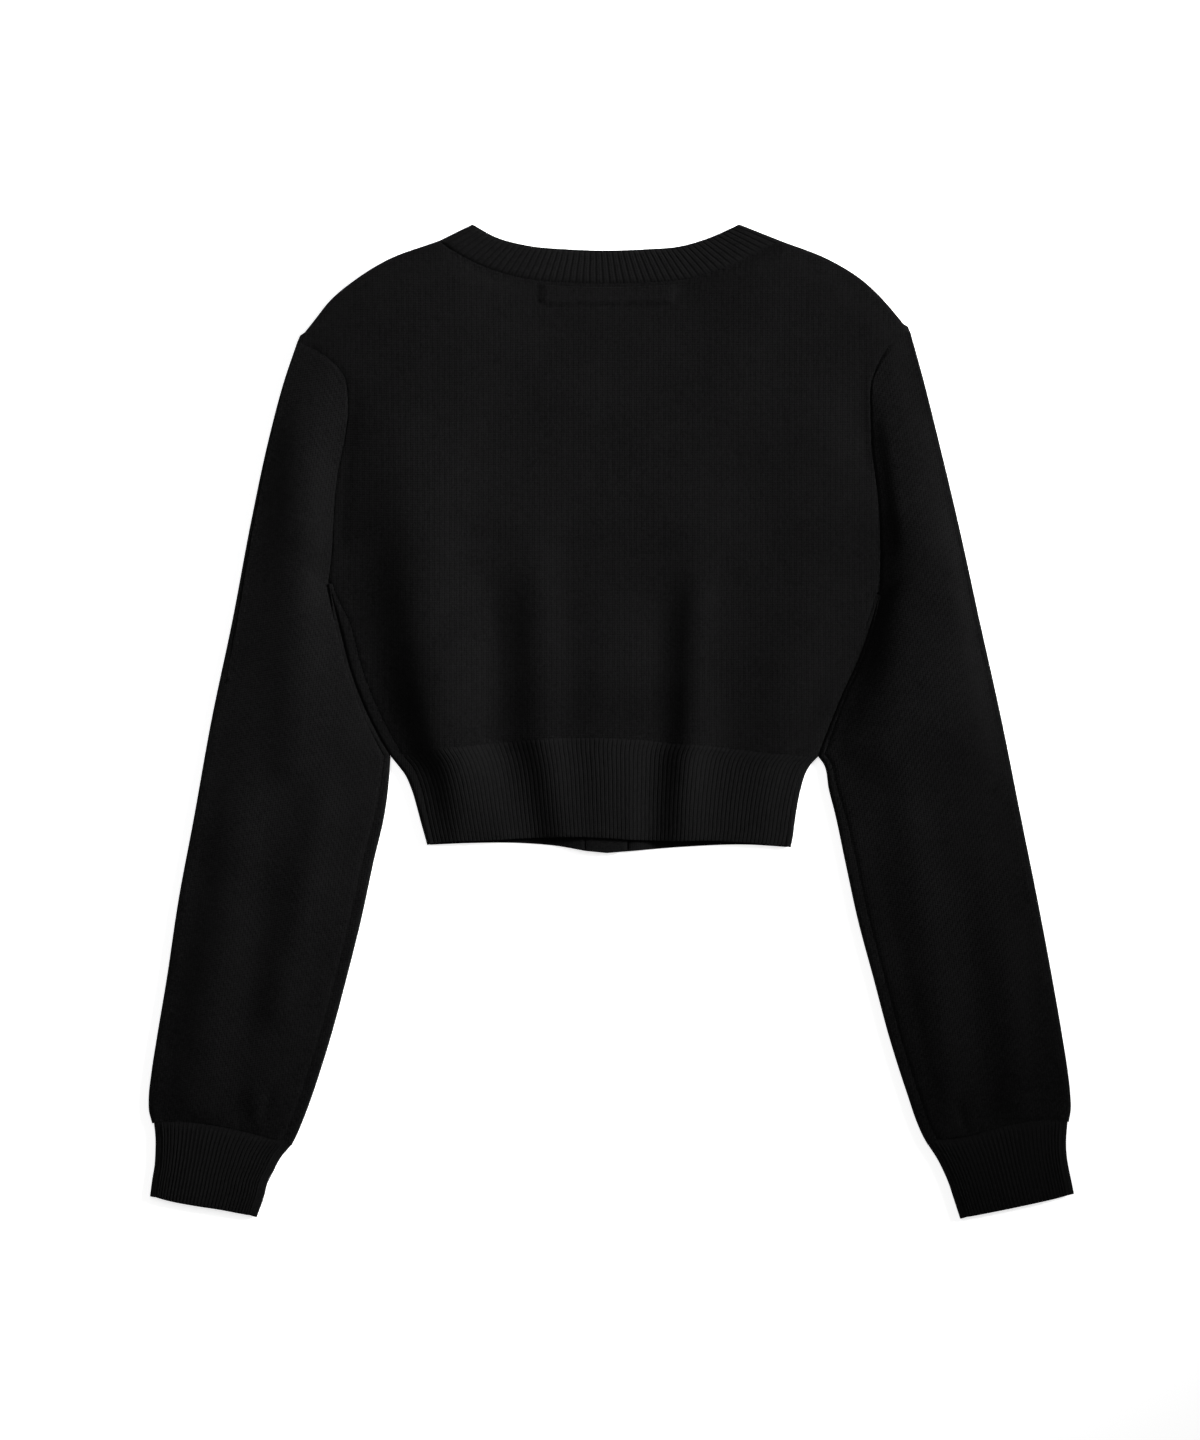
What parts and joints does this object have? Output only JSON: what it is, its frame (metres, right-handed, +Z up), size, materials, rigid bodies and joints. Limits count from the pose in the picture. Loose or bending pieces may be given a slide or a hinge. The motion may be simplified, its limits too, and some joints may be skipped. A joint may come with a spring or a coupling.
{
  "type": "cropped cardigan",
  "caption": "Cropped long-sleeved knit cardigan laid flat with its back up, with ribbed neckband, hem and cuffs and a buttoned centre front against the floor.",
  "frame": {"origin": "centre of the garment's outline on the floor that it lies on", "axes": "+X towards the wearer's right sleeve, which is on the right of the picture; +Y from the hem towards the neck; +Z up, out of the back panel"},
  "size_m": [0.6169, 0.6631, 0.0243],
  "materials": {
    "jersey_knit": "fine plain jersey knit, matt, neutral black",
    "rib_knit": "fine rib knit, matt, neutral black",
    "band_knit": "firm double-knit band, matt, neutral black",
    "button": "plain black plastic, soft gloss"
  },
  "bodies": {
    "root": {"back_body": "jersey_knit", "left_front": "jersey_knit", "right_front": "jersey_knit", "left_sleeve": "jersey_knit", "right_sleeve": "jersey_knit", "back_hem_rib": "rib_knit", "left_front_hem_rib": "rib_knit", "right_front_hem_rib": "rib_knit", "left_cuff": "rib_knit", "right_cuff": "rib_knit", "neckband": "rib_knit", "buttonhole_band": "band_knit", "button_band": "band_knit", "button_1": "button", "button_2": "button", "button_3": "button", "button_4": "button", "button_5": "button", "button_6": "button"}
  },
  "joints": []
}
